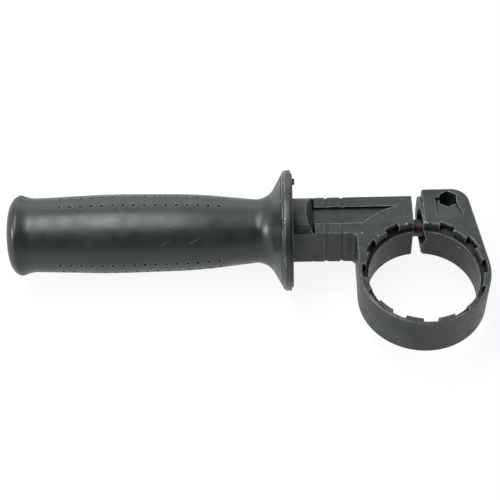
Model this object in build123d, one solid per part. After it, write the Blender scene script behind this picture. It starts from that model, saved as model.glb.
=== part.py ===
"""Side handle of a hammer drill: a notched clamp band on a straight arm, and a grip that screws up on its bolt.

The origin is the centre of the clamp bore, halfway up. +Z runs along the bore towards the notched lip, and the
grip lies towards -X. The bolt runs parallel to X, behind the bore.
"""

import os
from math import acos, atan2, cos, hypot, radians, sin, tan

from build123d import *

# Clamp band: the collar
bore_d = 48.8
collar_wall = 4.35
collar_height = 21.4
edge_chamfer = 0.4

# Notched lip of the collar
notch_count = 11
notch_first_angle = 119.3
notch_pitch_angle = 30.4
notch_width = 6.4
notch_wall = 1.55
lip_step = 1.15
lip_chamfer = 0.45
notch_depth = 3.6
band_depth = 4.8

# Arm and slit
bolt_offset = 31.05
arm_width = 21.0
slit_gap = 4.7
slit_edge_x = -2.9
block_end_x = -47.6
arm_end_x = -56.95
corner_fillet = 2.5
slit_chamfer = 0.8

# Channel along the arm, above and below
channel_width = 9.4
channel_depth = 1.2
channel_end_r = 37.0

# Two sawtooth grooves round the arm
groove_count = 2
first_groove_x = -42.8
groove_pitch = 7.1
groove_depth = 0.5
groove_steep = 0.3
groove_floor = 0.7
groove_ramp = 1.2

# Arched neck at the arm's outer end, and the spigot that centres the grip
neck_crown_width = 14.4
neck_step = 0.35
neck_ramp = 3.7
spigot_d = 17.0
spigot_length = 3.0

# Ear beyond the slit
ear_corner_x = 15.1
ear_corner_r = 8.0
ear_back_y = 45.2
ear_face_round = 1.0
pad_d = 28.8
pad_front_height = 0.2
pad_tilt = 4.1
hole_mouth_d = 17.2

# Hexagonal hole for the depth stop rod, and the ramped recess beside it
rod_hole_x = 13.55
rod_hole_gap = 0.05
rod_hole_flats = 7.7
ramp_back = 0.8
ramp_left = 5.95
ramp_depth = 1.25
ramp_length = 12.3
ramp_edge_x = 2.6
ramp_edge_slope = 0.35

# Bolt, thread size M8
bolt_d = 7.8
bolt_length = 110.0
head_flats = 13.0
head_height = 5.3
head_seat_x = 18.5
bolt_hole_clearance = 0.5
head_clearance = 0.25
bolt_tip_chamfer = 0.8
head_chamfer_angle = 30.0

# Threaded insert in the grip's core
insert_d = 12.0
insert_length = 20.0
insert_depth = 9.0
insert_groove_d = 10.6
insert_groove_width = 2.0
thread_clearance = 0.05

# Grip: corners of its outline, as distances back from the core's front face and diameters there
thrust_gap = 0.15
rim_d = 55.3
rim_front = 0.8
rim_back = 3.45
rim_chamfer = 0.5
rim_back_round = 2.6
rim_chords = 3
disc_d = 52.4
disc_thickness = 3.2
disc_chamfer = 0.4
throat_at = 11.4
throat_d = 27.9
throat_round = 9.0
throat_chords = 4
barrel_chords = 2
palm_at = 43.0
palm_d = 34.9
palm_round = 200.0
belly_at = 84.0
belly_d = 36.5
belly_round = 300.0
heel_at = 105.0
heel_d = 34.7
heel_round = 400.0
grip_length = 129.9

# Flared end: distances forward from the tip of the grip
neck_from_end = 9.6
neck_d = 33.8
flare_front = 6.3
flare_back = 4.6
flare_d = 36.8
flare_bevel = 1.0
flare_bevel_width = 1.2
end_face_d = 30.4
end_dome = 1.6
end_chords = 3

# Sleeve wall, and the cavity in the core
sleeve_wall = 2.8
cavity_d = 16.0
cavity_back_wall = 3.0
cavity_front_wall = 3.0
socket_clearance = 0.3

# Lug on the core's disc
lug_inner_r = 20.6
lug_outer_r = 23.8
lug_width = 4.6
lug_height = 1.1
lug_angle = 37.0
lug_taper = 20.0

# Dimples in the sleeve: double rows along the grip
dimple_rows = 3
dimple_count = 16
dimple_pitch = 4.8
dimple_first_at = 33.1
dimple_d = 1.7
dimple_depth = 0.4
dimple_pair_angle = 22.0
dimple_pair_shift = 0.4
dimple_first_angle = 72.0

# Sizes that follow from the ones above
bore_r = bore_d / 2
collar_r = bore_r + collar_wall
notch_r = collar_r - notch_wall
lip_r = bore_r + lip_step
half_height = collar_height / 2
half_arm = arm_width / 2
ear_face_x = slit_edge_x + slit_gap
front_x = arm_end_x - thrust_gap
bolt_hole_r = (bolt_d + bolt_hole_clearance) / 2
head_corner_d = head_flats / cos(radians(30))
rod_hole_corner_r = rod_hole_flats / 2 / cos(radians(30))
rod_hole_y = bolt_offset + bolt_d / 2 + rod_hole_gap + rod_hole_corner_r
channel_floor = half_height - channel_depth
socket_r = spigot_d / 2 + socket_clearance
grip_end_x = front_x - grip_length
insert_front_x = front_x - insert_depth
insert_back_x = insert_front_x - insert_length
cavity_back_x = grip_end_x + neck_from_end + cavity_back_wall
cavity_front_x = insert_back_x - cavity_front_wall

# How far a cutting piece runs past the face it cuts, and a length beyond the whole part
overrun = 1.0
far = 200.0


def along_x(x, y=bolt_offset, z=0.0):
    """Plane whose local Z runs along +X, with its origin on the bolt's line by default."""
    return Plane(origin=(x, y, z), x_dir=(0, 1, 0), z_dir=(1, 0, 0))


def rod(x_from, x_to, radius):
    """Cylinder on the bolt's line between two places along X."""
    return extrude(along_x(x_from) * Circle(radius), x_to - x_from)


def revolved(outline):
    """Solid of revolution about the bolt's line from a face drawn with X along it and Y as the radius."""
    turned = revolve(outline, axis=Axis.X)
    return Pos(0, bolt_offset, 0) * turned


# Clamp band


def tangent_web(radius_a, centre_b, radius_b):
    """Quadrilateral between a circle on the origin and a second circle, up to their outer tangent."""
    distance = hypot(*centre_b)
    normal = atan2(centre_b[1], centre_b[0]) - acos((radius_a - radius_b) / distance)
    step = (cos(normal), sin(normal))
    return make_face(
        Polyline(
            (0, 0),
            (radius_a * step[0], radius_a * step[1]),
            (centre_b[0] + radius_b * step[0], centre_b[1] + radius_b * step[1]),
            centre_b,
            close=True,
        )
    )


def box_face(x_low, x_high, y_low, y_high):
    return Pos((x_low + x_high) / 2, (y_low + y_high) / 2) * Rectangle(x_high - x_low, y_high - y_low)


def band_outline():
    """Plan of the collar, the arm and the ear, before the bore is cut."""
    arm = box_face(block_end_x, slit_edge_x, bolt_offset - half_arm, bolt_offset + half_arm)
    root = box_face(-collar_r, slit_edge_x, 0, bolt_offset)
    body = Circle(collar_r) + arm + root
    inner = [v for v in body.vertices() if abs(v.X + collar_r) < 0.01 and abs(v.Y - bolt_offset + half_arm) < 0.01]
    body = fillet(inner, corner_fillet)
    centre = (ear_corner_x, ear_back_y - ear_corner_r)
    ear = Pos(*centre) * Circle(ear_corner_r) + tangent_web(collar_r, centre, ear_corner_r)
    ear += box_face(ear_face_x, ear_corner_x, 0, ear_back_y)
    ear -= box_face(ear_face_x - far, ear_face_x, -far, far)
    ear = fillet(ear.vertices().sort_by_distance((ear_face_x, ear_back_y))[0], ear_face_round)
    slit = box_face(slit_edge_x, ear_face_x, 0, far)
    return body - slit + ear


def notch_tool():
    """What is cut from the lip: a band with a sloping floor, and the notches that run further out."""
    top = half_height + overrun
    slope = (band_depth - notch_depth) / (notch_r - bore_r)

    def ring_section(outer):
        floor = half_height - band_depth + slope * (outer - bore_r)
        section = Polyline(
            (bore_r - overrun, top),
            (bore_r - overrun, half_height - band_depth),
            (bore_r, half_height - band_depth),
            (outer, floor),
            (outer, top),
            close=True,
        )
        return revolve(Plane.XZ * make_face(section), axis=Axis.Z)

    slots = [
        Rot(0, 0, notch_first_angle + i * notch_pitch_angle) * Pos(notch_r / 2, 0, 0) * Box(notch_r, notch_width, far)
        for i in range(notch_count)
    ]
    return ring_section(lip_r) + (ring_section(notch_r) & (slots[0] + slots[1:]))


def lip_chamfer_tool():
    """What the chamfer round the teeth and notches takes off the lip's top edge."""
    slots = [
        Rot(0, 0, notch_first_angle + i * notch_pitch_angle) * Pos(notch_r / 2, 0) * Rectangle(notch_r, notch_width)
        for i in range(notch_count)
    ]
    plan = Circle(lip_r) + [Circle(notch_r) & slot for slot in slots]
    return Pos(0, 0, half_height - lip_chamfer) * extrude(plan, lip_chamfer + 0.05, taper=-45)


def channel_tool():
    """The channel that runs along the arm's top, and its twin below, ending on an arc round the bore."""
    plan = box_face(block_end_x - overrun, 0, bolt_offset - channel_width / 2, bolt_offset + channel_width / 2)
    plan -= Circle(channel_end_r)
    top = Pos(0, 0, channel_floor) * extrude(plan, channel_depth + overrun)
    return top + mirror(top, about=Plane.XY)


def groove_tools(x):
    """A sawtooth groove on the arm's four sides, steep on the grip's side."""
    floor_x = x + groove_steep
    ramp_x = floor_x + groove_floor
    far_x = ramp_x + groove_ramp
    section = make_face(
        Polyline((x, overrun), (x, 0), (floor_x, -groove_depth), (ramp_x, -groove_depth), (far_x, 0), (far_x, overrun),
                 close=True)
    )
    tool = extrude(Pos(0, far / 2, 0) * (Plane.XZ * section), far)
    sides = [(0, half_height), (90, half_arm), (180, half_height), (270, half_arm)]
    return [Pos(0, bolt_offset, 0) * Rot(angle, 0, 0) * Pos(0, 0, reach) * tool for angle, reach in sides]


def neck():
    """Arched collar between the arm's block and the grip, with a raised crown and a ramp down to the channel."""
    radius = hypot(half_arm, half_height)
    crown = Circle(radius) & Rectangle(neck_crown_width, far)
    flanks = Circle(radius - neck_step) & Rectangle(arm_width, far)
    body = extrude(along_x(arm_end_x) * (crown + flanks), block_end_x - arm_end_x)
    wedge = make_face(
        Polyline((block_end_x, channel_floor), (block_end_x - neck_ramp, radius), (block_end_x - neck_ramp, far),
                 (block_end_x + overrun, far), (block_end_x + overrun, channel_floor), close=True)
    )
    cut = extrude(Pos(0, bolt_offset + far / 2, 0) * (Plane.XZ * wedge), far)
    return body - cut - mirror(cut, about=Plane.XY)


def pad():
    """Round pad about the bolt on the ear's clamping face, its face tilted as the tightened collar tilts it."""
    face = Circle(pad_d / 2) & Rectangle(pad_d, collar_height - 2 * edge_chamfer)
    face -= Pos(ear_back_y - bolt_offset + far / 2 - edge_chamfer, 0) * Rectangle(far, far)
    body = extrude(along_x(ear_face_x - 2 * overrun) * face, 3 * overrun)
    beyond = Pos(ear_face_x - pad_front_height, bore_r, 0) * Rot(0, 0, pad_tilt) * Pos(-far / 2, 0, 0)
    return body - beyond * Box(far, far, far)


def hole_mouth():
    """Wide countersink where the bolt enters the ear, which breaks through into the bore."""
    start = ear_face_x - 2 * overrun
    face_x = ear_face_x - 3 * pad_front_height
    end_r = bolt_hole_r - overrun
    start_r = hole_mouth_d / 2 + face_x - start
    outline = Polyline((start, 0), (start, start_r), (start + start_r - end_r, end_r), (start + start_r - end_r, 0),
                       close=True)
    return revolved(make_face(outline))


def rod_hole_tools():
    """Hexagonal hole for the depth stop rod, and the recess that ramps up from it to the top face."""
    hexagon = Pos(rod_hole_x, rod_hole_y) * Rot(0, 0, 30) * RegularPolygon(rod_hole_corner_r, 6)
    hole = Pos(0, 0, -half_height - overrun) * extrude(hexagon, collar_height + 2 * overrun)
    start = rod_hole_y + ramp_back
    end = start - ramp_length
    left = rod_hole_x - ramp_left
    right = rod_hole_x + ramp_edge_x
    plan = make_face(
        Polyline((left, start), (right, start), (right + ramp_edge_slope * ramp_length, end), (left, end), close=True)
    )
    side = make_face(
        Polyline((start, half_height - ramp_depth), (end, half_height), (end, half_height + overrun),
                 (start, half_height + overrun), close=True)
    )
    wedge = extrude(Plane.YZ * side, far / 2)
    return [hole, wedge & Pos(0, 0, half_height - ramp_depth) * extrude(plan, ramp_depth + overrun)]


def clamp_band():
    """One moulding: arm, split collar with a notched lip, and ear."""
    body = Pos(0, 0, -half_height) * extrude(band_outline(), collar_height)
    rims = body.edges().filter_by_position(Axis.Z, half_height - 0.01, half_height + 0.01)
    rims += body.edges().filter_by_position(Axis.Z, -half_height - 0.01, -half_height + 0.01)
    body = chamfer(rims, edge_chamfer)
    bore = Cylinder(bore_r, far)
    body -= bore
    body += pad() - bore
    corner = (ear_face_x - pad_front_height, (bore_r**2 - (ear_face_x - pad_front_height) ** 2) ** 0.5, 0)
    body = chamfer(body.edges().sort_by_distance(corner)[0], slit_chamfer)
    body -= notch_tool()
    body -= lip_chamfer_tool()
    body -= channel_tool()
    for i in range(groove_count):
        for tool in groove_tools(first_groove_x + i * groove_pitch):
            body -= tool
    body += neck()
    body += rod(arm_end_x - spigot_length, arm_end_x, spigot_d / 2)
    for tool in rod_hole_tools():
        body -= tool
    body -= rod(arm_end_x - spigot_length - overrun, far, bolt_hole_r)
    body -= hole_mouth()
    pocket = RegularPolygon((head_corner_d + 2 * head_clearance) / 2, 6)
    body -= extrude(along_x(head_seat_x) * pocket, far)
    return body


# Bolt


def clamp_bolt():
    """M8 bolt: hexagonal head in the ear, shank through the arm into the grip."""
    shank = rod(head_seat_x - bolt_length, head_seat_x, bolt_d / 2)
    tip = shank.edges().sort_by(Axis.X)[0]
    shank = chamfer(tip, bolt_tip_chamfer)
    head = extrude(along_x(head_seat_x) * RegularPolygon(head_corner_d / 2, 6), head_height)
    rise = (head_corner_d - head_flats) / 2 * tan(radians(head_chamfer_angle))
    outer = head_corner_d / 2
    cap = make_face(
        Polyline((head_seat_x, 0), (head_seat_x, outer), (head_seat_x + head_height - rise, outer),
                 (head_seat_x + head_height, head_flats / 2), (head_seat_x + head_height, 0), close=True)
    )
    return shank + (head & revolved(cap))


# Grip


def barrel_corners(inset):
    """Corners of the grip's outline between the flare and the flange, each with its rounding and its chords."""
    corners = [
        (grip_length - neck_from_end, neck_d, 0, 0),
        (heel_at, heel_d, heel_round, barrel_chords),
        (belly_at, belly_d, belly_round, barrel_chords),
        (palm_at, palm_d, palm_round, barrel_chords),
        (throat_at - 0.6 * inset, throat_d, throat_round, throat_chords),
    ]
    return [(front_x - at, d / 2 - inset, rounding, chords) for at, d, rounding, chords in corners]


def rounded_line(corners):
    """Line through corners, each given as X, radius, rounding and the number of chords that draw the rounding.

    A rounding of 0 leaves the corner sharp, and 0 chords draw a true arc. Chords keep a curve to a few cones.
    """
    points = [Vector(x, y) for x, y, *_ in corners]
    pieces = []
    start = points[0]
    for i in range(1, len(points) - 1):
        into = (points[i] - points[i - 1]).normalized()
        out = (points[i + 1] - points[i]).normalized()
        radius, chords = corners[i][2:]
        half_turn = radians(into.get_angle(out)) / 2
        reach = radius * tan(half_turn)
        pieces.append(Line(start, points[i] - into * reach))
        start = points[i] + out * reach
        if radius > 0:
            middle = points[i] + (out - into).normalized() * radius * (1 / cos(half_turn) - 1)
            arc = ThreePointArc(points[i] - into * reach, middle, start)
            pieces += [Line(arc @ (k / chords), arc @ ((k + 1) / chords)) for k in range(chords)] or [arc]
    return pieces + [Line(start, points[-1])]


def sleeve_line():
    """Outline of the grip from the rim of its domed end to the front of the flange."""
    flare_r = flare_d / 2
    end = [
        (grip_end_x + end_dome, end_face_d / 2, 0, 0),
        (grip_end_x + end_dome + flare_bevel_width, flare_r - flare_bevel, 0, 0),
        (grip_end_x + flare_back, flare_r, 0, 0),
        (grip_end_x + flare_front, flare_r, 0, 0),
    ]
    rim = [
        (front_x - rim_back, rim_d / 2, rim_back_round, rim_chords),
        (front_x - rim_front - rim_chamfer, rim_d / 2, 0, 0),
        (front_x - rim_front, rim_d / 2 - rim_chamfer, 0, 0),
        (front_x - rim_front, 0, 0, 0),
    ]
    return rounded_line(end + barrel_corners(0) + rim)


def sleeve_solid():
    """Outer form of the grip: domed end, flare, barrel, cone and thick rounded rim."""
    dome = ThreePointArc((grip_end_x, 0), (grip_end_x + end_dome / 4, end_face_d / 4),
                         (grip_end_x + end_dome, end_face_d / 2))
    chords = [Line(dome @ (k / end_chords), dome @ ((k + 1) / end_chords)) for k in range(end_chords)]
    axis = Line((front_x - rim_front, 0), (grip_end_x, 0))
    return revolved(make_face([*chords, *sleeve_line(), axis]))


def core_solid():
    """Outer form of the core: a straight tube inside the barrel, a cone to the throat and the front disc."""
    tube_r = neck_d / 2 - sleeve_wall
    throat = barrel_corners(sleeve_wall)[-1][:2]
    barrel = [(grip_end_x + neck_from_end, tube_r), (front_x - palm_at, tube_r), throat]
    disc_r = disc_d / 2
    disc = [(front_x - disc_thickness, disc_r), (front_x - disc_chamfer, disc_r), (front_x, disc_r - disc_chamfer)]
    start = (grip_end_x + neck_from_end, 0)
    return revolved(make_face(Polyline(start, *barrel, *disc, (front_x, 0), close=True)))


def insert_body():
    """Turned outline of the insert: two bands either side of a groove that locks it in the core."""
    middle = (insert_front_x + insert_back_x) / 2
    ends = (middle - insert_groove_width / 2, middle + insert_groove_width / 2)
    body = rod(insert_back_x, insert_front_x, insert_d / 2)
    return body - (rod(*ends, insert_d) - rod(*ends, insert_groove_d / 2))


def threaded_insert():
    return insert_body() - rod(grip_end_x, front_x, bolt_d / 2 + thread_clearance)


def lug():
    """Small lug that stands on the front disc."""
    middle = (lug_inner_r + lug_outer_r) / 2
    radial = lug_outer_r - lug_inner_r
    place = along_x(front_x) * Rot(0, 0, lug_angle) * Pos(middle, 0)
    return extrude(place * Rectangle(radial, lug_width), lug_height, taper=lug_taper)


def grip_core():
    """Core: a stiff tube with the front disc, the spigot's socket, the insert's seat and a closed cavity."""
    body = core_solid()
    body -= rod(front_x - spigot_length - socket_clearance, front_x + overrun, socket_r)
    body -= rod(cavity_front_x - overrun, front_x, bolt_hole_r)
    body -= insert_body()
    body -= rod(cavity_back_x, cavity_front_x, cavity_d / 2)
    return body + lug()


def barrel_radius(x):
    """Radius of the barrel at a place along X, read from its rounded outline."""
    for edge in rounded_line(barrel_corners(0)):
        if (edge @ 0).X <= x <= (edge @ 1).X:
            return (edge @ ((x - (edge @ 0).X) / ((edge @ 1).X - (edge @ 0).X))).Y


def dimples():
    """Small hollows in double rows along the sleeve, six-sided to keep the facets few."""
    hollow = extrude(RegularPolygon(dimple_d / 2, 6), dimple_depth, both=True)
    cuts = []
    for row in range(dimple_rows):
        for side in (-1, 1):
            angle = radians(dimple_first_angle + 360 * row / dimple_rows + side * dimple_pair_angle / 2)
            outward = (0, cos(angle), sin(angle))
            for i in range(dimple_count):
                x = front_x - dimple_first_at - i * dimple_pitch - side * dimple_pair_shift / 2
                reach = barrel_radius(x)
                rim = (x, bolt_offset + reach * cos(angle), reach * sin(angle))
                cuts.append(Plane(origin=rim, x_dir=(1, 0, 0), z_dir=outward) * hollow)
    return cuts


def grip_sleeve():
    return sleeve_solid() - core_solid() - dimples()


pieces = {
    "clamp_band": clamp_band(),
    "clamp_bolt": clamp_bolt(),
    "grip_core": grip_core(),
    "grip_sleeve": grip_sleeve(),
    "threaded_insert": threaded_insert(),
}
os.makedirs("parts", exist_ok=True)
for name, solid in pieces.items():
    export_step(solid, f"parts/{name}.step")
    print(name, round(solid.volume / 1000, 2), "cm3")
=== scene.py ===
# %% [markdown]
# # A hammer drill's side handle
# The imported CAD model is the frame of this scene: a notched clamp band on a straight arm, its bolt, and
# a grip made of a stiff core, a soft sleeve and a threaded insert. This lesson dresses it: it looks at
# the handle from the photograph's angle, lights it as in a small product studio, models the soft sleeve
# anew with its dimples, and gives every piece the finish of its real material.

# %% Load the frame
import math

import bpy
from mathutils import Matrix, Vector


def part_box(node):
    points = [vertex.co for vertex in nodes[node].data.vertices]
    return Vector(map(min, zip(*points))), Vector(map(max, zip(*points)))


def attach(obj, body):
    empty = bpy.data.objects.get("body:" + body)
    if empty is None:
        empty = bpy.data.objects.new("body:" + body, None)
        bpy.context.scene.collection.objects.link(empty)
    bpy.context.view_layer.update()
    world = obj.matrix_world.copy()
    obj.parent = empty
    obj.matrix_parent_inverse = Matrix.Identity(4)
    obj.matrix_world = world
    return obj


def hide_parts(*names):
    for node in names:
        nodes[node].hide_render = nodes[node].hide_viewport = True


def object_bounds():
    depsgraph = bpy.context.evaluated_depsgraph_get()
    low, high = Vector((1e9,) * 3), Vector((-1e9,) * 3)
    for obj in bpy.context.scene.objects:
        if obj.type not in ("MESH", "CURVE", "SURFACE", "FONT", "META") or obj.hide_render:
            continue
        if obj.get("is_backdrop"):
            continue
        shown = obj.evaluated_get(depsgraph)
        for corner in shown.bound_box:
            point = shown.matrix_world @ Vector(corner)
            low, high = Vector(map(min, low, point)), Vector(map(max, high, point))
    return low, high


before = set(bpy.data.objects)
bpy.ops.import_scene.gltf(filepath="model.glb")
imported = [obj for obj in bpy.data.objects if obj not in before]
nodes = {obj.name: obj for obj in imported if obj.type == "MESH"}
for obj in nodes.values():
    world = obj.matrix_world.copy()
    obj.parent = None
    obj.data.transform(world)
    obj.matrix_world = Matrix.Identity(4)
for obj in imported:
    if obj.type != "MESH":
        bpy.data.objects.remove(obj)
cad_low, cad_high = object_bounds()
print("nodes:", sorted(nodes))

# %% [markdown]
# Blender works in metres, and a handle is drawn in millimetres, so one value turns millimetres into
# metres. Colours are picked as sRGB hex values, as a paint shop or a photo editor gives them. Shaders
# want linear light, so one function turns a hex value into linear numbers, and every material uses it.

# %% Units and colours
MM = 0.001


def linear(hex_value):
    """Linear red, green, blue and alpha from an sRGB hex value such as "#2a2c2d"."""
    parts = [int(hex_value[i : i + 2], 16) / 255 for i in (1, 3, 5)]
    return [p / 12.92 if p <= 0.04045 else ((p + 0.055) / 1.055) ** 2.4 for p in parts] + [1.0]


# %% [markdown]
# The photograph looks down on the handle from the front, a little more than half way to straight above,
# with the camera rolled by about three degrees. The lens is long, so the handle shows little
# perspective. The camera is turned in three plain steps: rolled about its own view, tipped up, and
# swung round the handle.

# %% Camera
CAMERA_SWING = math.radians(2.249)
CAMERA_ELEVATION = math.radians(53.033)
CAMERA_ROLL = math.radians(-2.894)
CAMERA_PLACE = Vector((-62.8, -334.1, 470.7)) * MM
CAMERA_RAISE = 0.28 * MM

lens = bpy.data.cameras.new("photo_camera")
lens.lens = 93.6
lens.sensor_width = 36.0
lens.clip_start = 0.01
camera = bpy.data.objects.new("photo_camera", lens)
bpy.context.scene.collection.objects.link(camera)
turn = Matrix.Rotation(CAMERA_SWING, 4, "Z")
turn = turn @ Matrix.Rotation(math.pi / 2 - CAMERA_ELEVATION, 4, "X")
turn = turn @ Matrix.Rotation(CAMERA_ROLL, 4, "Z")
camera.matrix_world = Matrix.Translation(CAMERA_PLACE + turn @ Vector((0, CAMERA_RAISE, 0))) @ turn
bpy.context.scene.camera = camera
print("camera looks along", [round(v, 3) for v in turn @ Vector((0, 0, -1))])

# %% [markdown]
# A small helper adds one node to a material, with its settings and its links. Settings are the node's
# own properties, such as operation. Inputs are numbers, colours, or another node's output to link. An
# input that isn't named keeps the node's own value: a Map Range runs from 0 to 1 where nothing else is
# said.

# %% Node helper


def add_node(tree, kind, inputs=None, **settings):
    """Adds a node, sets its properties, then fills or links its inputs by name or place."""
    node = tree.nodes.new(kind)
    for name, value in settings.items():
        setattr(node, name, value)
    for key, value in (inputs or {}).items():
        if isinstance(value, bpy.types.NodeSocket):
            tree.links.new(value, node.inputs[key])
        else:
            node.inputs[key].default_value = value
    return node


def new_material(name):
    """An empty node material with its Principled shader, and the Object coordinates its patterns read."""
    material = bpy.data.materials.new(name)
    material.use_nodes = True
    tree = material.node_tree
    shader = tree.nodes["Principled BSDF"]
    place = add_node(tree, "ShaderNodeTexCoord").outputs["Object"]
    return material, tree, shader, place


# %% [markdown]
# The studio is a pale floor under the handle and a pale world round it. The camera sees both as white,
# as in the photograph, and so do mirrored and refracted views, through three outputs of Light Path. The
# floor is only part white that way, so it keeps the handle's soft shadow.

# %% Floor and world
FLOOR_SIZE = 3.0
FLOOR_GLOW = 0.88


def seen_white(tree):
    """1 for rays from the camera, a reflection or a see-through surface, 0 for light that spreads."""
    rays = add_node(tree, "ShaderNodeLightPath").outputs
    mirrored = add_node(
        tree, "ShaderNodeMath", {0: rays["Is Camera Ray"], 1: rays["Is Glossy Ray"]}, operation="ADD"
    ).outputs[0]
    return add_node(
        tree,
        "ShaderNodeMath",
        {0: mirrored, 1: rays["Is Transmission Ray"]},
        operation="ADD",
        use_clamp=True,
    ).outputs[0]


bpy.ops.object.select_all(action="DESELECT")
bpy.ops.mesh.primitive_plane_add(size=FLOOR_SIZE, location=(cad_low.x / 2, 0, cad_low.z))
floor = bpy.context.object
floor.name = "floor"
bpy.ops.object.transform_apply(location=True)
paper, tree, shader, _ = new_material("White paper sweep")
shader.inputs["Base Color"].default_value = linear("#fafafa")
shader.inputs["Roughness"].default_value = 0.9
share = add_node(tree, "ShaderNodeMath", {0: seen_white(tree), 1: FLOOR_GLOW}, operation="MULTIPLY")
glow = add_node(tree, "ShaderNodeEmission", {"Color": (1, 1, 1, 1), "Strength": 1.0})
mixed = add_node(
    tree, "ShaderNodeMixShader", {0: share.outputs[0], 1: shader.outputs[0], 2: glow.outputs[0]}
)
tree.links.new(mixed.outputs[0], tree.nodes["Material Output"].inputs["Surface"])
floor.data.materials.append(paper)
floor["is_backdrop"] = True

# %% [markdown]
# The world lights the handle softly from all round. A real studio is darker behind the photographer,
# high on the front side, and black plastic shows that as a dark band along the grip. So what the
# surfaces mirror from that side of the room is dimmed: the Generated coordinates of a world are the
# direction looked in.

# %% World
WORLD_LIGHT = 0.4
DARK_SIDE = Vector((0, -0.72, 0.69))
DARK_SIDE_LIGHT = 0.11
# How nearly a look has to point at the dark side for the dimming to start, and to be full.
DIMMING_STARTS = 0.45
DIMMING_FULL = 0.92

world = bpy.data.worlds.new("Pale studio")
bpy.context.scene.world = world
world.use_nodes = True
tree = world.node_tree
rays = add_node(tree, "ShaderNodeLightPath").outputs
looking = add_node(tree, "ShaderNodeTexCoord").outputs["Generated"]
facing = add_node(
    tree, "ShaderNodeVectorMath", {0: looking, 1: DARK_SIDE.normalized()}, operation="DOT_PRODUCT"
).outputs["Value"]
room = add_node(
    tree,
    "ShaderNodeMapRange",
    {
        "Value": facing,
        "From Min": DIMMING_STARTS,
        "From Max": DIMMING_FULL,
        "To Min": 1.0,
        "To Max": DARK_SIDE_LIGHT,
    },
    interpolation_type="SMOOTHSTEP",
).outputs[0]
mirrored = add_node(
    tree, "ShaderNodeMath", {0: rays["Is Glossy Ray"], 1: rays["Is Transmission Ray"]}, operation="MAXIMUM"
).outputs[0]
spread = add_node(
    tree, "ShaderNodeMix", {0: mirrored, 2: WORLD_LIGHT, 3: room}, data_type="FLOAT"
).outputs[0]
strength = add_node(tree, "ShaderNodeMix", {0: rays["Is Camera Ray"], 2: spread, 3: 1.0}, data_type="FLOAT")
background = tree.nodes["Background"]
background.inputs["Color"].default_value = (1, 1, 1, 1)
tree.links.new(strength.outputs[0], background.inputs["Strength"])
bpy.context.scene.view_settings.view_transform = "Standard"

# %% [markdown]
# Black plastic shows mostly what it mirrors, so the lamps are placed by the highlights that the
# photograph shows. A wide soft box above makes the long highlight along the grip. A small one at the
# front left makes the spot in the throat of the flange and brightens the left of the collar. A very
# large one behind lights the walls that face it.

# %% Lamps


def soft_box(name, place, aim, size, watts):
    """A rectangular area lamp at a place, turned to face a point; places and sizes are in millimetres."""
    lamp = bpy.data.lights.new(name, "AREA")
    lamp.shape = "RECTANGLE"
    lamp.size, lamp.size_y = size[0] * MM, size[1] * MM
    lamp.energy = watts
    box = bpy.data.objects.new(name, lamp)
    bpy.context.scene.collection.objects.link(box)
    box.location = Vector(place) * MM
    box.rotation_euler = (Vector(aim) - Vector(place)).to_track_quat("-Z", "Y").to_euler()
    return box


soft_box("overhead_box", (-270, 22, 700), (-140, 30, 0), (520, 290), 4.2)
soft_box("left_box", (-815, -235, 450), (-70, 20, 10), (240, 240), 4.4)
soft_box("back_box", (-60, 900, 500), (-60, 30, 0), (1200, 500), 2.5)

# %% [markdown]
# The soft sleeve is one closed shell of rubbery plastic, moulded over the core. It could be cut from
# stacked cylinders, but it is round all the way, so its outline is drawn once and spun about the grip's
# axis, as a potter's wheel does. The outline starts as one point at the domed end. It is extruded
# corner by corner along the flare, the barrel, the cone and the thick rim, and comes back along the
# inner wall that holds the core.

# %% Sleeve outline
sleeve_low, sleeve_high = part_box("grip_sleeve")
END_X = sleeve_low.x / MM
RIM_X = sleeve_high.x / MM
AXIS_Y = (sleeve_low.y + sleeve_high.y) / 2 / MM
RIM_RADIUS = (sleeve_high.y - sleeve_low.y) / 2 / MM

# Each corner is its place along the axis, its radius, the reach of its rounding and the rounding's steps.
SLEEVE_CORNERS = [
    (END_X, 0.0, 0.0, 0),
    (END_X + 0.1, 5.1, 2.4, 3),
    (END_X + 0.4, 10.2, 2.4, 3),
    (END_X + 1.3, 14.8, 0.3, 2),
    (END_X + 2.3, 16.6, 0.9, 3),
    (END_X + 3.6, 17.9, 0.8, 3),
    (END_X + 5.0, 18.55, 0.6, 3),
    (END_X + 6.2, 18.5, 0.5, 3),
    (END_X + 9.4, 16.95, 2.6, 5),
    (END_X + 24.9, 17.35, 6.0, 4),
    (END_X + 45.9, 18.25, 9.0, 6),
    (END_X + 86.9, 17.45, 9.0, 6),
    (RIM_X - 10.6, 13.95, 5.8, 8),
    (RIM_X - 4.5, 25.2, 0.1, 1),
    (RIM_X - 4.35, 25.0, 0.0, 0),
    (RIM_X - 4.15, 26.2, 0.1, 2),
    (RIM_X - 2.8, RIM_RADIUS - 0.1, 0.12, 2),
    (RIM_X - 0.2, RIM_RADIUS, 0.12, 2),
    (RIM_X, RIM_RADIUS - 0.4, 0.1, 2),
    (RIM_X, 26.2, 0.0, 0),
    (RIM_X - 2.4, 26.2, 0.0, 0),
    (RIM_X - 8.9, 11.15, 0.0, 0),
    (END_X + 86.9, 14.1, 0.0, 0),
    (END_X + 9.6, 14.1, 0.0, 0),
    (END_X + 9.6, 0.0, 0.0, 0),
]
# Points nearer than this are the same place.
SAME_PLACE = 0.001 * MM


def deselect_mesh():
    """Leaves edit mode with nothing in the mesh selected, so that code can select by place."""
    bpy.ops.object.mode_set(mode="EDIT")
    bpy.ops.mesh.select_all(action="DESELECT")
    bpy.ops.object.mode_set(mode="OBJECT")


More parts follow.
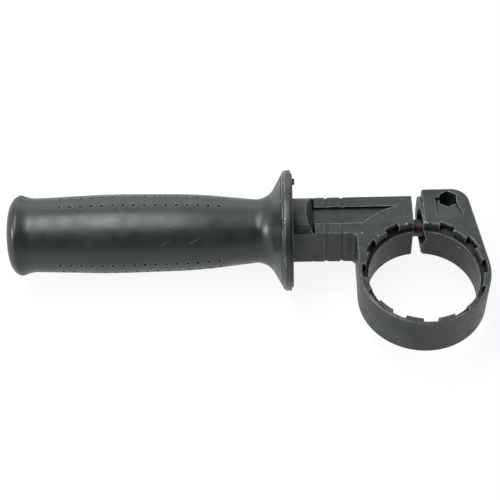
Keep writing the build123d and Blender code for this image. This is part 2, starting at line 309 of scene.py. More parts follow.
bpy.ops.object.select_all(action="DESELECT")
bpy.ops.mesh.primitive_plane_add(size=MM, location=(0, 0, 0))
sleeve = bpy.context.object
sleeve.name = "sleeve"
bpy.ops.object.mode_set(mode="EDIT")
bpy.ops.mesh.merge(type="CENTER")
bpy.ops.transform.translate(value=(END_X * MM, AXIS_Y * MM, 0))
for (x, radius, _, _), (next_x, next_radius, _, _) in zip(SLEEVE_CORNERS, SLEEVE_CORNERS[1:]):
    step = ((next_x - x) * MM, 0, (next_radius - radius) * MM)
    bpy.ops.mesh.extrude_region_move(TRANSFORM_OT_translate={"value": step})
bpy.ops.object.mode_set(mode="OBJECT")
print("outline corners:", len(sleeve.data.vertices))

# %% [markdown]
# A mould's corners are never sharp. Each corner on the outside gets its own rounding with a vertex
# bevel, tiny at the rim and nearly a centimetre on the palm swell. Only the hidden inner wall and the
# crease behind the rim stay sharp.

# %% Round the outline
for x, radius, reach, steps in SLEEVE_CORNERS:
    if not reach:
        continue
    deselect_mesh()
    corner = Vector((x, AXIS_Y, radius)) * MM
    for vertex in sleeve.data.vertices:
        vertex.select = (vertex.co - corner).length < SAME_PLACE
    bpy.ops.object.mode_set(mode="EDIT")
    bpy.ops.mesh.bevel(offset=reach * MM, segments=steps, affect="VERTICES")
    bpy.ops.object.mode_set(mode="OBJECT")
print("rounded outline:", len(sleeve.data.vertices), "points")

# %% [markdown]
# The dimples will cut small holes in the barrel. Long thin faces shade badly round a hole, so the
# barrel's long edges are halved until each is about as short as a dimple is wide.

# %% Divide the barrel
LONGEST_EDGE = 1.6 * MM
BARREL_RADIUS = 16 * MM
BARREL_FRONT_X = (RIM_X - 10) * MM
# Along the barrel the inner wall lies within this radius, so points beyond it there are on the outside.
OUTSIDE_RADIUS = 14.5 * MM

while True:
    points = sleeve.data.vertices
    ends = [[points[i].co for i in edge.vertices] for edge in sleeve.data.edges]
    too_long = [
        (a - b).length > LONGEST_EDGE and min(a.z, b.z) > BARREL_RADIUS and max(a.x, b.x) < BARREL_FRONT_X
        for a, b in ends
    ]
    if not any(too_long):
        break
    deselect_mesh()
    for edge, chosen in zip(sleeve.data.edges, too_long):
        edge.select = chosen
    bpy.ops.object.mode_set(mode="EDIT")
    bpy.ops.mesh.select_mode(type="EDGE")
    bpy.ops.mesh.subdivide(number_cuts=1)
    bpy.ops.object.mode_set(mode="OBJECT")
outer_line = sorted((v.co.x, v.co.z) for v in sleeve.data.vertices if v.co.z > OUTSIDE_RADIUS)
print("divided outline:", len(sleeve.data.vertices), "points")

# %% [markdown]
# The finished outline is spun a full turn about the grip's axis. The first and the last copy of it lie
# in the same place, so their points are merged, and that closes the shell.

# %% Spin the shell
SPIN_STEPS = 160

bpy.ops.object.mode_set(mode="EDIT")
bpy.ops.mesh.select_all(action="SELECT")
bpy.ops.mesh.spin(steps=SPIN_STEPS, angle=2 * math.pi, center=(0, AXIS_Y * MM, 0), axis=(1, 0, 0))
bpy.ops.mesh.select_all(action="SELECT")
bpy.ops.mesh.remove_doubles(threshold=SAME_PLACE)
bpy.ops.mesh.normals_make_consistent(inside=False)
bpy.ops.object.mode_set(mode="OBJECT")
print("sleeve shell:", len(sleeve.data.polygons), "faces")

# %% [markdown]
# Three bands of dimples give the fingers hold. Each band has two lines of shallow bowls. One small ball
# is modelled, and copied to every place with its own mesh, sunk as deep into the surface as the bowl
# is. The balls are joined, and one Boolean difference presses them all into the sleeve.

# %% Dimples
DIMPLE_WIDTH = 1.9
DIMPLE_DEPTH = 0.6
DIMPLES_IN_LINE = 16
DIMPLE_PITCH = 4.8
FIRST_DIMPLE_X = RIM_X - 32.3
BAND_ANGLES = (72.0, 192.0, 312.0)
LINE_ANGLE = 11.0
LINE_SHIFT = 0.2
BALL_RADIUS = (DIMPLE_WIDTH**2 / 4 + DIMPLE_DEPTH**2) / (2 * DIMPLE_DEPTH)
SMOOTH_ANGLE = 32.0


def sleeve_radius(x):
    """The sleeve's outer radius at a place along its axis, in millimetres, read from the outline."""
    for (x0, r0), (x1, r1) in zip(outer_line, outer_line[1:]):
        if x0 <= x * MM <= x1:
            return (r0 + (r1 - r0) * (x * MM - x0) / (x1 - x0)) / MM
    raise ValueError("no outline there")


bpy.ops.object.select_all(action="DESELECT")
bpy.ops.mesh.primitive_uv_sphere_add(
    segments=14, ring_count=12, radius=BALL_RADIUS * MM, location=(0, 0, 0)
)
first_ball = bpy.context.object
balls = []
for band_angle in BAND_ANGLES:
    for side in (-1, 1):
        angle = math.radians(band_angle + side * LINE_ANGLE)
        for number in range(DIMPLES_IN_LINE):
            x = FIRST_DIMPLE_X - number * DIMPLE_PITCH + side * LINE_SHIFT
            out = sleeve_radius(x) + BALL_RADIUS - DIMPLE_DEPTH
            centre = Vector((x, AXIS_Y + out * math.cos(angle), out * math.sin(angle))) * MM
            ball = bpy.data.objects.new("ball", first_ball.data.copy())
            bpy.context.scene.collection.objects.link(ball)
            ball.data.transform(Matrix.Translation(centre) @ Matrix.Rotation(angle - math.pi / 2, 4, "X"))
            balls.append(ball)
bpy.data.objects.remove(first_ball)
bpy.ops.object.select_all(action="DESELECT")
for ball in balls:
    ball.select_set(True)
bpy.context.view_layer.objects.active = balls[0]
bpy.ops.object.join()
cutter = bpy.context.object
print("dimples:", len(balls), "of ball radius", round(BALL_RADIUS, 2), "mm")

bpy.ops.object.select_all(action="DESELECT")
bpy.context.view_layer.objects.active = sleeve
sleeve.select_set(True)
press = sleeve.modifiers.new("dimples", "BOOLEAN")
press.operation = "DIFFERENCE"
press.solver = "EXACT"
press.object = cutter
bpy.ops.object.modifier_apply(modifier=press.name)
bpy.data.objects.remove(cutter)
bpy.ops.object.shade_smooth_by_angle(angle=math.radians(SMOOTH_ANGLE))
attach(sleeve, "grip")
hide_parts("grip_sleeve")
print("sleeve with dimples:", len(sleeve.data.polygons), "faces")

# %% [markdown]
# The clamp is injection-moulded nylon filled with short glass fibres and dyed black. Under a lamp it is
# a dull charcoal with a fine grain of fibres, its moulded edges are softly rounded and catch the light,
# and corners that have been knocked turn pale. The CAD piece is already right in shape, so the material
# adds the rest: a Bevel node rounds the edges in the shading, and where its normal leaves the face's
# own, the edge is painted pale, partly as wear and partly as a painted highlight of the light that the
# rounded edge catches. Every finish needs this, so one function makes the nodes for it. The function
# also tells how open a spot is, because a narrow corner or a deep hole mirrors little of the bright
# room and looks nearly black, and the finishes paint shade there with it.

# %% Moulded edges and corners
CORNER_REACH = 1.4
HOLE_REACH = 30.0
CORNER_STRENGTH = 2.0
RAY_SAMPLES = 8
# How well the rounded normal still agrees with the face's own where the pale edge of wear and painted
# highlight starts, and where it is full.
WEAR_AND_HIGHLIGHT_STARTS = 0.995
WEAR_AND_HIGHLIGHT_FULL = 0.91
# Edges at the foot of a wall stay unpainted: the pale edge of wear and painted highlight needs a spot that
# is at least this open.
WEAR_AND_HIGHLIGHT_SHELTERED = 0.8
WEAR_AND_HIGHLIGHT_EXPOSED = 0.95


def edge_and_corner(tree, rounding, wear_and_highlight_reach):
    """The rounded normal, a mask of outer edges, and how open the surface is, from 0 in a corner to 1."""
    rounded, wide = (
        add_node(tree, "ShaderNodeBevel", {"Radius": reach * MM}, samples=RAY_SAMPLES).outputs[0]
        for reach in (rounding, wear_and_highlight_reach)
    )
    near, deep = (
        add_node(
            tree,
            "ShaderNodeAmbientOcclusion",
            {"Distance": reach * MM},
            samples=RAY_SAMPLES,
            only_local=True,
        ).outputs["AO"]
        for reach in (CORNER_REACH, HOLE_REACH)
    )
    flat = add_node(tree, "ShaderNodeNewGeometry").outputs["Normal"]
    agree = add_node(
        tree, "ShaderNodeVectorMath", {0: wide, 1: flat}, operation="DOT_PRODUCT"
    ).outputs["Value"]
    turned = add_node(
        tree, "ShaderNodeMapRange", {"Value": agree, "From Min": WEAR_AND_HIGHLIGHT_STARTS, "From Max": WEAR_AND_HIGHLIGHT_FULL}
    ).outputs[0]
    outer = add_node(
        tree, "ShaderNodeMapRange", {"Value": near, "From Min": WEAR_AND_HIGHLIGHT_SHELTERED, "From Max": WEAR_AND_HIGHLIGHT_EXPOSED}
    ).outputs[0]
    # This edge mask paints edges pale: partly wear, partly painted highlight.
    edge = add_node(tree, "ShaderNodeMath", {0: turned, 1: outer}, operation="MULTIPLY").outputs[0]
    # Openness is what the finishes paint shade with, in corners and holes.
    corner = add_node(tree, "ShaderNodeMath", {0: near, 1: CORNER_STRENGTH}, operation="POWER").outputs[0]
    openness = add_node(tree, "ShaderNodeMath", {0: corner, 1: deep}, operation="MULTIPLY").outputs[0]
    return rounded, edge, openness


# %% [markdown]
# Dust and tiny chips sit on the plastic as pale dots. A Voronoi pattern gives one dot in each of its
# cells. The cells' own random colour thins the dots out, because dust never lies in a regular grid.

# %% Dust


def dust(tree, place, spacing, width, kept):
    """A mask of round specks of a width, about one in each cube of a spacing, of which a share is kept."""
    cells = add_node(tree, "ShaderNodeTexVoronoi", {"Vector": place, "Scale": 1 / (spacing * MM)})
    near = add_node(
        tree,
        "ShaderNodeMath",
        {0: cells.outputs["Distance"], 1: width / 2 / spacing},
        operation="LESS_THAN",
    ).outputs[0]
    lot = add_node(tree, "ShaderNodeSeparateColor", {0: cells.outputs["Color"]}).outputs[0]
    keep = add_node(tree, "ShaderNodeMath", {0: lot, 1: kept}, operation="LESS_THAN").outputs[0]
    return add_node(tree, "ShaderNodeMath", {0: near, 1: keep}, operation="MULTIPLY").outputs[0]


# %% [markdown]
# Knocks are not spread evenly: most are where the machine's neck goes in. The clearest ones in the
# photograph are placed one by one, each as a small ball that paints the surface it touches.

# %% Knocks
# Each chip is its place on the clamp and its size, in millimetres.
CHIPS = [
    ((-38.0, 34.2, 10.7), 0.9),
    ((-9.4, 22.4, 10.7), 1.0),
    ((-8.0, 23.2, 10.7), 0.9),
    ((-6.2, 25.3, 10.7), 0.95),
    ((2.1, 26.2, 10.7), 0.95),
    ((3.2, 25.6, 10.7), 0.9),
    ((-19.4, 18.9, 10.7), 0.6),
    ((-26.4, 20.7, 10.7), 0.6),
    ((16.9, 17.7, 6.7), 0.9),
    ((17.3, 17.3, 2.7), 0.9),
]


def chips(tree, place, ragged, spots):
    """A mask of small balls at places on the piece, each with a ragged outline, in millimetres."""
    mask = None
    for spot, width in spots:
        distance = add_node(
            tree, "ShaderNodeVectorMath", {0: place, 1: Vector(spot) * MM}, operation="DISTANCE"
        ).outputs["Value"]
        reach = add_node(
            tree, "ShaderNodeMath", {0: ragged, 1: -width * MM, 2: distance}, operation="MULTIPLY_ADD"
        ).outputs[0]
        ball = add_node(tree, "ShaderNodeMath", {0: reach, 1: 0.0}, operation="LESS_THAN").outputs[0]
        if mask is None:
            mask = ball
        else:
            mask = add_node(tree, "ShaderNodeMath", {0: mask, 1: ball}, operation="MAXIMUM").outputs[0]
    return mask


# %% [markdown]
# The nylon's colour is never even. Three patterns of different size mix in it: a mottle, wide clouds
# from the flow in the mould, and upright hairlines that wiping has left. A fourth, the grain of the
# fibres, roughens the skin and breaks up the outlines of the chips.

# %% Patterns of the nylon
GRAIN_SIZE = 1.1
MOTTLE_SIZE = 2.6
CLOUD_SIZE = 22.0
HAIRLINE_SIZE = (0.9, 0.9, 14.0)
HAIRLINE_SHARE = 0.35

nylon, tree, shader, place = new_material("Glass-filled nylon, moulded")
rounded, edge, openness = edge_and_corner(tree, rounding=0.3, wear_and_highlight_reach=0.5)
# Real fibre grain is about 0.1 mm, too fine for the picture, so it is drawn at one millimetre.
grain = add_node(
    tree,
    "ShaderNodeTexNoise",
    {"Vector": place, "Scale": 1 / (GRAIN_SIZE * MM), "Detail": 3.0, "Roughness": 0.7},
).outputs[0]
mottle = add_node(
    tree,
    "ShaderNodeTexNoise",
    {"Vector": place, "Scale": 1 / (MOTTLE_SIZE * MM), "Detail": 4.0, "Roughness": 0.7},
).outputs[0]
clouds = add_node(
    tree,
    "ShaderNodeTexNoise",
    {"Vector": place, "Scale": 1 / (CLOUD_SIZE * MM), "Detail": 3.0, "Roughness": 0.55},
).outputs[0]
# Real hairlines are finer than 0.1 mm, so they too are drawn at about one millimetre.
upright = add_node(
    tree, "ShaderNodeMapping", {"Vector": place, "Scale": [1 / (size * MM) for size in HAIRLINE_SIZE]}
).outputs[0]
hairlines = add_node(
    tree, "ShaderNodeTexNoise", {"Vector": upright, "Scale": 1.0, "Detail": 2.0, "Roughness": 0.6}
).outputs[0]
shade = add_node(
    tree, "ShaderNodeMath", {0: hairlines, 1: HAIRLINE_SHARE, 2: mottle}, operation="MULTIPLY_ADD"
).outputs[0]
shade = add_node(tree, "ShaderNodeMath", {0: shade, 1: clouds}, operation="MULTIPLY").outputs[0]
shade = add_node(
    tree, "ShaderNodeMapRange", {"Value": shade, "From Min": 0.2, "From Max": 0.48}
).outputs[0]
body_colour = add_node(
    tree, "ShaderNodeMix", {0: shade, 6: linear("#101515"), 7: linear("#242b2b")}, data_type="RGBA"
).outputs[2]
print("nylon patterns in mm:", GRAIN_SIZE, MOTTLE_SIZE, CLOUD_SIZE, HAIRLINE_SIZE)

# %% [markdown]
# Two kinds of painted shade darken parts of the clamp. Corners and holes mirror little, as said above,
# and are painted darker. And the bore is painted a little darker, the notches over it much darker. The
# bore stands upright at the origin, so the distance from its axis and the height tell the two zones
# apart.

# %% Painted shade inside the ring
# Its reach from the bore's axis, its upper and lower end, and the height of the ledge between.
NOTCH_REACH = 27.3
RING_FACE = 10.4
LEDGE_HEIGHT = 5.95
# How much light the deepest holes, the bore and the notches give back under their painted shade, against
# the faces outside.
HOLE_LEFT = 0.25
BORE_LEFT = 0.72
NOTCH_LEFT = 0.32

# Painted shade: corners and holes are darkened, in colour and in what they mirror.
painted_shade = add_node(
    tree,
    "ShaderNodeMapRange",
    {"Value": openness, "From Min": 0.06, "From Max": 0.88, "To Min": HOLE_LEFT, "To Max": 1.0},
).outputs[0]
level = add_node(tree, "ShaderNodeVectorMath", {0: place, 1: (1, 1, 0)}, operation="MULTIPLY").outputs[0]
reach = add_node(tree, "ShaderNodeVectorMath", {0: level}, operation="LENGTH").outputs["Value"]
inside = add_node(tree, "ShaderNodeMath", {0: reach, 1: NOTCH_REACH * MM}, operation="LESS_THAN").outputs[0]
height = add_node(tree, "ShaderNodeSeparateXYZ", {0: place}).outputs[2]
# Painted shade on the bore, and darker on the notches over it.
for low, high, left in ((-RING_FACE, LEDGE_HEIGHT, BORE_LEFT), (LEDGE_HEIGHT, RING_FACE, NOTCH_LEFT)):
    middle, half = (low + high) / 2, (high - low) / 2
    offset = add_node(tree, "ShaderNodeMath", {0: height, 1: middle * MM}, operation="SUBTRACT").outputs[0]
    size = add_node(tree, "ShaderNodeMath", {0: offset}, operation="ABSOLUTE").outputs[0]
    between = add_node(tree, "ShaderNodeMath", {0: size, 1: half * MM}, operation="LESS_THAN").outputs[0]
    zone = add_node(tree, "ShaderNodeMath", {0: inside, 1: between}, operation="MULTIPLY").outputs[0]
    painted_inside_shade = add_node(tree, "ShaderNodeMapRange", {"Value": zone, "To Min": 1.0, "To Max": left}).outputs[0]
    painted_shade = add_node(tree, "ShaderNodeMath", {0: painted_shade, 1: painted_inside_shade}, operation="MULTIPLY").outputs[0]
    print("from", low, "to", high, "mm the ring gives back", left)

# %% [markdown]
# Now the layers come together, from the plastic outwards: the dyed body, the painted shade in its
# corners and inside the ring, pale edges that are partly wear and partly painted highlight, then chips
# and dust. The same painted shade also dims what the surface mirrors. The fibres lie unevenly under the
# skin, so its gloss changes with the mottle.

# %% Colour and gloss of the nylon
NYLON_GRAIN_DEPTH = 0.06
DULLEST_SHEEN = 0.74

# The painted shade darkens the body colour here, and further down it dims what the surface mirrors.
shaded_colour = add_node(
    tree, "ShaderNodeMix", {0: painted_shade, 6: linear("#020202"), 7: body_colour}, data_type="RGBA"
).outputs[2]
sheen_patches = add_node(
    tree, "ShaderNodeMapRange", {"Value": shade, "To Min": DULLEST_SHEEN, "To Max": 1.0}
).outputs[0]
sheen = add_node(tree, "ShaderNodeMath", {0: painted_shade, 1: sheen_patches}, operation="MULTIPLY").outputs[0]
patchy = add_node(
    tree,
    "ShaderNodeMapRange",
    {"Value": mottle, "From Min": 0.36, "From Max": 0.58, "To Min": 0.2, "To Max": 1.0},
).outputs[0]
# Pale edges: partly wear, partly painted highlight.
wear_and_highlight = add_node(tree, "ShaderNodeMath", {0: edge, 1: patchy}, operation="MULTIPLY").outputs[0]
wear_and_highlight_colour = add_node(
    tree, "ShaderNodeMix", {0: wear_and_highlight, 6: shaded_colour, 7: linear("#9da2a0")}, data_type="RGBA"
).outputs[2]
dust_specks = dust(tree, place, spacing=4.0, width=0.36, kept=0.7)
chipped = add_node(
    tree, "ShaderNodeMath", {0: dust_specks, 1: chips(tree, place, grain, CHIPS)}, operation="MAXIMUM"
).outputs[0]
colour = add_node(
    tree, "ShaderNodeMix", {0: chipped, 6: wear_and_highlight_colour, 7: linear("#8f9391")}, data_type="RGBA"
).outputs[2]
gloss = add_node(
    tree,
    "ShaderNodeMapRange",
    {"Value": mottle, "From Min": 0.35, "From Max": 0.65, "To Min": 0.42, "To Max": 0.56},
).outputs[0]
bumps = add_node(
    tree,
    "ShaderNodeBump",
    {"Strength": 0.6, "Distance": NYLON_GRAIN_DEPTH * MM, "Height": grain, "Normal": rounded},
).outputs[0]
tree.links.new(colour, shader.inputs["Base Color"])
tree.links.new(gloss, shader.inputs["Roughness"])
tree.links.new(sheen, shader.inputs["Specular Tint"])
tree.links.new(bumps, shader.inputs["Normal"])
shader.inputs["IOR"].default_value = 1.53
print(nylon.name, "has", len(tree.nodes), "nodes")

# %% [markdown]
# The grip's core is the same family of plastic without the coarse fibres. Only its front disc shows,
# inside the sleeve's rim. It is a little smoother, so it is a material of its own.

# %% Moulded polyamide core
CORE_CLOUD_SIZE = 15.0
CORE_GRAIN_DEPTH = 0.02

core_plastic, tree, shader, place = new_material("Polyamide, moulded")
rounded, edge, _ = edge_and_corner(tree, rounding=0.2, wear_and_highlight_reach=0.3)
grain = add_node(
    tree, "ShaderNodeTexNoise", {"Vector": place, "Scale": 1 / (GRAIN_SIZE * MM), "Detail": 2.0}
).outputs[0]
clouds = add_node(
    tree, "ShaderNodeTexNoise", {"Vector": place, "Scale": 1 / (CORE_CLOUD_SIZE * MM), "Detail": 3.0}
).outputs[0]
body_colour = add_node(
    tree, "ShaderNodeMix", {0: clouds, 6: linear("#252b2b"), 7: linear("#333a3a")}, data_type="RGBA"
).outputs[2]
# Pale edges: partly wear, partly painted highlight.
wear_and_highlight_colour = add_node(
    tree, "ShaderNodeMix", {0: edge, 6: body_colour, 7: linear("#6c7170")}, data_type="RGBA"
).outputs[2]
specks = dust(tree, place, spacing=4.0, width=0.3, kept=0.7)
colour = add_node(
    tree, "ShaderNodeMix", {0: specks, 6: wear_and_highlight_colour, 7: linear("#8c8e8c")}, data_type="RGBA"
).outputs[2]
bumps = add_node(
    tree,
    "ShaderNodeBump",
    {"Strength": 0.4, "Distance": CORE_GRAIN_DEPTH * MM, "Height": grain, "Normal": rounded},
).outputs[0]
tree.links.new(colour, shader.inputs["Base Color"])
tree.links.new(bumps, shader.inputs["Normal"])
shader.inputs["Roughness"].default_value = 0.48
shader.inputs["IOR"].default_value = 1.53
shader.inputs["Specular IOR Level"].default_value = 0.4
print(core_plastic.name, "has", len(tree.nodes), "nodes")

# %% [markdown]
# The sleeve is thermoplastic elastomer, moulded against a fine spark-eroded mould and then rubbed by
# hands and a tool bag. To the eye it is semi-matte: one long, soft highlight runs along it, broken up
# by rubbed patches, with two thin scratches and specks of dust. The rim has two thin pale lines of
# painted highlight along it. Painted shade darkens the crease behind it and its front edge. Scratches
# and lines get a function each for their masks.

# %% Marks on the sleeve
SCRATCH_WIDTH = 0.3
SCRATCH_STRENGTH = 0.25
# Each scratch is where it starts and ends on the barrel, in millimetres.
SCRATCHES = [
    ((-116.6, 16.0, 9.5), (-112.0, 17.6, 11.6)),
    ((-103.6, 16.5, 10.2), (-99.0, 17.9, 12.0)),
]
# Lines round the rim: their place along the axis and their width, in millimetres. The first list holds
# painted highlights, the second painted shade in the rim's creases.
RIM_HIGHLIGHT_LINES = [(RIM_X - 3.95, 0.45), (RIM_X - 2.7, 0.5)]
SHADED_RIM_CREASES = [(RIM_X - 4.5, 0.9), (RIM_X - 0.15, 0.7)]
# Each chip is its place on the sleeve and its size, in millimetres.
RIM_CHIPS = [
    ((-60.8, 18.6, 24.5), 0.75),
    ((-60.9, 17.1, 23.7), 0.85),
    ((-61.2, 37.2, 26.8), 0.9),
    ((-61.2, 5.8, 10.9), 0.8),
    ((-96.7, 27.9, 17.5), 0.7),
]


def scratch(tree, place, start, end, width):
    """A mask of one thin straight scratch from start to end, on the coordinates of the piece."""
    start, end = Vector(start), Vector(end)
    along = (end - start).normalized()
    out = Vector((0, start.y - AXIS_Y, start.z)).normalized()
    across = along.cross(out).normalized()
    middle = (start + end) / 2 * MM
    offset = add_node(tree, "ShaderNodeVectorMath", {0: place, 1: middle}, operation="SUBTRACT").outputs[0]
    mask = None
    for direction, reach in ((along, (end - start).length / 2), (across, width / 2)):
        part = add_node(
            tree, "ShaderNodeVectorMath", {0: offset, 1: direction}, operation="DOT_PRODUCT"
        ).outputs["Value"]
        size = add_node(tree, "ShaderNodeMath", {0: part}, operation="ABSOLUTE").outputs[0]
        near = add_node(tree, "ShaderNodeMath", {0: size, 1: reach * MM}, operation="LESS_THAN").outputs[0]
        if mask is None:
            mask = near
        else:
            mask = add_node(tree, "ShaderNodeMath", {0: mask, 1: near}, operation="MULTIPLY").outputs[0]
    return mask


def ring_line(tree, place, x, width):
    """A mask of one thin line round the sleeve, at a place along its axis, in millimetres."""
    along = add_node(tree, "ShaderNodeSeparateXYZ", {0: place}).outputs[0]
    offset = add_node(tree, "ShaderNodeMath", {0: along, 1: x * MM}, operation="SUBTRACT").outputs[0]
    size = add_node(tree, "ShaderNodeMath", {0: offset}, operation="ABSOLUTE").outputs[0]
    return add_node(
        tree,
        "ShaderNodeMapRange",
        {
            "Value": size,
            "From Min": width / 4 * MM,
            "From Max": width / 2 * MM,
            "To Min": 1.0,
            "To Max": 0.0,
        },
    ).outputs[0]


# %% [markdown]
# The skin of the sleeve needs three patterns: the grain of the mould, a mottle, and the wide patches
# that hands have rubbed.

# %% Patterns of the elastomer
SLEEVE_GRAIN_SIZE = 0.9
SLEEVE_MOTTLE_SIZE = 2.2
RUB_SIZE = 9.0

elastomer, tree, shader, place = new_material("Thermoplastic elastomer, moulded")
rounded, edge, openness = edge_and_corner(tree, rounding=0.12, wear_and_highlight_reach=0.45)
# The spark-eroded skin is about 0.05 mm, so it is drawn many times as coarse to show at all.
grain = add_node(
    tree,
    "ShaderNodeTexNoise",
    {"Vector": place, "Scale": 1 / (SLEEVE_GRAIN_SIZE * MM), "Detail": 3.0, "Roughness": 0.7},
).outputs[0]
mottle = add_node(
    tree,
    "ShaderNodeTexNoise",
    {"Vector": place, "Scale": 1 / (SLEEVE_MOTTLE_SIZE * MM), "Detail": 3.0, "Roughness": 0.65},
).outputs[0]
rub = add_node(
    tree,
    "ShaderNodeTexNoise",
    {"Vector": place, "Scale": 1 / (RUB_SIZE * MM), "Detail": 4.0, "Roughness": 0.6},
).outputs[0]
print("elastomer patterns in mm:", SLEEVE_GRAIN_SIZE, SLEEVE_MOTTLE_SIZE, RUB_SIZE)

# %% [markdown]
# Its layers come together as on the nylon: body, painted shade, pale edges of wear and painted
# highlight, and marks. The rubbed patches are a little paler and duller than the rest, which is what
# breaks up the long highlight.

# %% Colour and gloss of the elastomer
SLEEVE_GRAIN_DEPTH = 0.06
# How much roughness the mottle adds where it is strongest.
MOTTLE_DULLS = 0.08

body_colour = add_node(
    tree, "ShaderNodeMix", {0: rub, 6: linear("#141a1b"), 7: linear("#232a2a")}, data_type="RGBA"
).outputs[2]
# Painted shade in corners and dimples, and in the rim's creases below.
painted_shade = add_node(
    tree, "ShaderNodeMapRange", {"Value": openness, "From Min": 0.15, "From Max": 0.7}
).outputs[0]
# The rim's creases get painted shade.
for x, width in SHADED_RIM_CREASES:
    crease = ring_line(tree, place, x, width)
    outside_crease = add_node(tree, "ShaderNodeMath", {0: 1.0, 1: crease}, operation="SUBTRACT").outputs[0]
    painted_shade = add_node(tree, "ShaderNodeMath", {0: painted_shade, 1: outside_crease}, operation="MULTIPLY").outputs[0]
shaded_colour = add_node(
    tree, "ShaderNodeMix", {0: painted_shade, 6: linear("#020202"), 7: body_colour}, data_type="RGBA"
).outputs[2]
patchy = add_node(
    tree,
    "ShaderNodeMapRange",
    {"Value": mottle, "From Min": 0.35, "From Max": 0.6, "To Min": 0.4, "To Max": 1.0},
).outputs[0]
rim_highlight_breakup = add_node(
    tree,
    "ShaderNodeMapRange",
    {"Value": rub, "From Min": 0.44, "From Max": 0.6, "To Min": 0.05, "To Max": 0.6},
).outputs[0]
# Pale edges, partly wear and partly painted highlight, and the rim's painted highlight lines.
wear_and_highlight = edge
for x, width in RIM_HIGHLIGHT_LINES:
    whole_line = ring_line(tree, place, x, width)
    line = add_node(
        tree, "ShaderNodeMath", {0: whole_line, 1: rim_highlight_breakup}, operation="MULTIPLY"
    ).outputs[0]
    wear_and_highlight = add_node(tree, "ShaderNodeMath", {0: wear_and_highlight, 1: line}, operation="MAXIMUM").outputs[0]
wear_and_highlight = add_node(tree, "ShaderNodeMath", {0: wear_and_highlight, 1: patchy}, operation="MULTIPLY").outputs[0]
wear_and_highlight_colour = add_node(
    tree, "ShaderNodeMix", {0: wear_and_highlight, 6: shaded_colour, 7: linear("#a3a8a8")}, data_type="RGBA"
).outputs[2]
marks = dust(tree, place, spacing=5.0, width=0.34, kept=0.6)
for start, end in SCRATCHES:
    mark = scratch(tree, place, start, end, SCRATCH_WIDTH)
    broken = add_node(tree, "ShaderNodeMath", {0: mark, 1: patchy}, operation="MULTIPLY").outputs[0]
    faint = add_node(
        tree, "ShaderNodeMath", {0: broken, 1: SCRATCH_STRENGTH}, operation="MULTIPLY"
    ).outputs[0]
    marks = add_node(tree, "ShaderNodeMath", {0: marks, 1: faint}, operation="MAXIMUM").outputs[0]
marks = add_node(
    tree, "ShaderNodeMath", {0: marks, 1: chips(tree, place, grain, RIM_CHIPS)}, operation="MAXIMUM"
).outputs[0]
colour = add_node(
    tree, "ShaderNodeMix", {0: marks, 6: wear_and_highlight_colour, 7: linear("#9a9d9c")}, data_type="RGBA"
).outputs[2]
gloss_cloud = add_node(
    tree,
    "ShaderNodeMapRange",
    {"Value": rub, "From Min": 0.35, "From Max": 0.65, "To Min": 0.25, "To Max": 0.38},
).outputs[0]
gloss = add_node(
    tree, "ShaderNodeMath", {0: mottle, 1: MOTTLE_DULLS, 2: gloss_cloud}, operation="MULTIPLY_ADD"
).outputs[0]
bumps = add_node(
    tree,
    "ShaderNodeBump",
    {"Strength": 0.6, "Distance": SLEEVE_GRAIN_DEPTH * MM, "Height": grain, "Normal": rounded},
).outputs[0]
tree.links.new(colour, shader.inputs["Base Color"])
tree.links.new(gloss, shader.inputs["Roughness"])
# The painted shade also dims what the sleeve mirrors.
tree.links.new(painted_shade, shader.inputs["Specular Tint"])
tree.links.new(bumps, shader.inputs["Normal"])
shader.inputs["IOR"].default_value = 1.5
print(elastomer.name, "has", len(tree.nodes), "nodes")

# %% [markdown]
# The bolt is steel, turned, rolled with its thread, and blackened in a hot bath. The black coat is thin
# and slightly brown, and it has rubbed through to bare steel along the edges. The thread starts inside
# the arm, where it never shows, so a fine wave in the finish stands for it.

# %% Blackened steel
THREAD_PITCH = 1.25
THREAD_START_X = -20.0
THREAD_DEPTH = 0.6
BLOTCH_SIZE = 1.5
BLOTCH_DEPTH = 0.05
# A Wave texture of scale 1 repeats after this length, so this over a pitch gives the scale for that pitch.
WAVE_PERIOD = math.pi / 10

steel, tree, shader, place = new_material("Steel, turned and blackened")
rounded, edge, _ = edge_and_corner(tree, rounding=0.25, wear_and_highlight_reach=0.3)
blotch = add_node(
    tree,
    "ShaderNodeTexNoise",
    {"Vector": place, "Scale": 1 / (BLOTCH_SIZE * MM), "Detail": 3.0, "Roughness": 0.65},
).outputs[0]
body_colour = add_node(
    tree, "ShaderNodeMix", {0: blotch, 6: linear("#3d3835"), 7: linear("#5c5551")}, data_type="RGBA"
).outputs[2]
colour = add_node(
    tree, "ShaderNodeMix", {0: edge, 6: body_colour, 7: linear("#8d8a86")}, data_type="RGBA"
).outputs[2]
along = add_node(tree, "ShaderNodeSeparateXYZ", {0: place}).outputs[0]
threaded = add_node(
    tree, "ShaderNodeMath", {0: along, 1: THREAD_START_X * MM}, operation="LESS_THAN"
).outputs[0]
ridges = add_node(
    tree,
    "ShaderNodeTexWave",
    {"Vector": place, "Scale": WAVE_PERIOD / (THREAD_PITCH * MM)},
    bands_direction="X",
    wave_profile="TRI",
).outputs[1]
thread = add_node(tree, "ShaderNodeMath", {0: ridges, 1: threaded}, operation="MULTIPLY").outputs[0]
height = add_node(
    tree, "ShaderNodeMath", {0: blotch, 1: BLOTCH_DEPTH, 2: thread}, operation="MULTIPLY_ADD"
).outputs[0]
bumps = add_node(
    tree,
    "ShaderNodeBump",
    {"Strength": 0.8, "Distance": THREAD_DEPTH * MM, "Height": height, "Normal": rounded},
).outputs[0]
gloss = add_node(
    tree,
    "ShaderNodeMapRange",
    {"Value": blotch, "From Min": 0.3, "From Max": 0.7, "To Min": 0.38, "To Max": 0.55},
).outputs[0]
tree.links.new(colour, shader.inputs["Base Color"])
tree.links.new(gloss, shader.inputs["Roughness"])
tree.links.new(bumps, shader.inputs["Normal"])
shader.inputs["Metallic"].default_value = 1.0
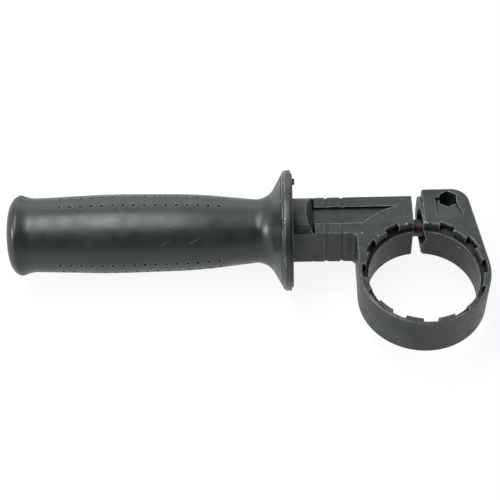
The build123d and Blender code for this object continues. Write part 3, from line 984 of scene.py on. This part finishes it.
print(steel.name, "has", len(tree.nodes), "nodes")

# %% [markdown]
# The insert that takes the bolt's thread is brass, turned on a lathe. The tool leaves fine rings across
# its axis, and the bare brass dulls to brown in patches.

# %% Turned brass
TURNING_PITCH = 0.4
TURNING_DEPTH = 0.04
TARNISH_SIZE = 4.0

brass, tree, shader, place = new_material("Brass, turned")
rounded, edge, _ = edge_and_corner(tree, rounding=0.2, wear_and_highlight_reach=0.25)
tarnish = add_node(
    tree,
    "ShaderNodeTexNoise",
    {"Vector": place, "Scale": 1 / (TARNISH_SIZE * MM), "Detail": 4.0, "Roughness": 0.6},
).outputs[0]
body_colour = add_node(
    tree, "ShaderNodeMix", {0: tarnish, 6: linear("#a5874a"), 7: linear("#cfb06a")}, data_type="RGBA"
).outputs[2]
colour = add_node(
    tree, "ShaderNodeMix", {0: edge, 6: body_colour, 7: linear("#dcc58c")}, data_type="RGBA"
).outputs[2]
rings = add_node(
    tree,
    "ShaderNodeTexWave",
    {"Vector": place, "Scale": WAVE_PERIOD / (TURNING_PITCH * MM), "Distortion": 0.4},
    bands_direction="X",
).outputs[1]
bumps = add_node(
    tree,
    "ShaderNodeBump",
    {"Strength": 0.3, "Distance": TURNING_DEPTH * MM, "Height": rings, "Normal": rounded},
).outputs[0]
gloss = add_node(
    tree,
    "ShaderNodeMapRange",
    {"Value": tarnish, "From Min": 0.3, "From Max": 0.7, "To Min": 0.42, "To Max": 0.28},
).outputs[0]
tree.links.new(colour, shader.inputs["Base Color"])
tree.links.new(gloss, shader.inputs["Roughness"])
tree.links.new(bumps, shader.inputs["Normal"])
shader.inputs["Metallic"].default_value = 1.0
print(brass.name, "has", len(tree.nodes), "nodes")

# %% [markdown]
# The clamp, its bolt, the core and the insert keep their CAD shapes, which are right, and only change
# their material. The sleeve that was modelled above gets the elastomer.

# %% Dress the pieces
FINISHES = {
    "clamp_band": nylon,
    "clamp_bolt": steel,
    "grip_core": core_plastic,
    "threaded_insert": brass,
}
for name, material in FINISHES.items():
    nodes[name].data.materials.clear()
    nodes[name].data.materials.append(material)
    print(name, "is", material.name)
sleeve.data.materials.clear()
sleeve.data.materials.append(elastomer)
print(sleeve.name, "is", elastomer.name)

# %% [markdown]
# The dressed handle should stay inside the CAD model's box, so its size is printed.

# %% Sizes
low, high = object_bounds()
print("size in mm:", [round((b - a) / MM, 1) for a, b in zip(low, high)])
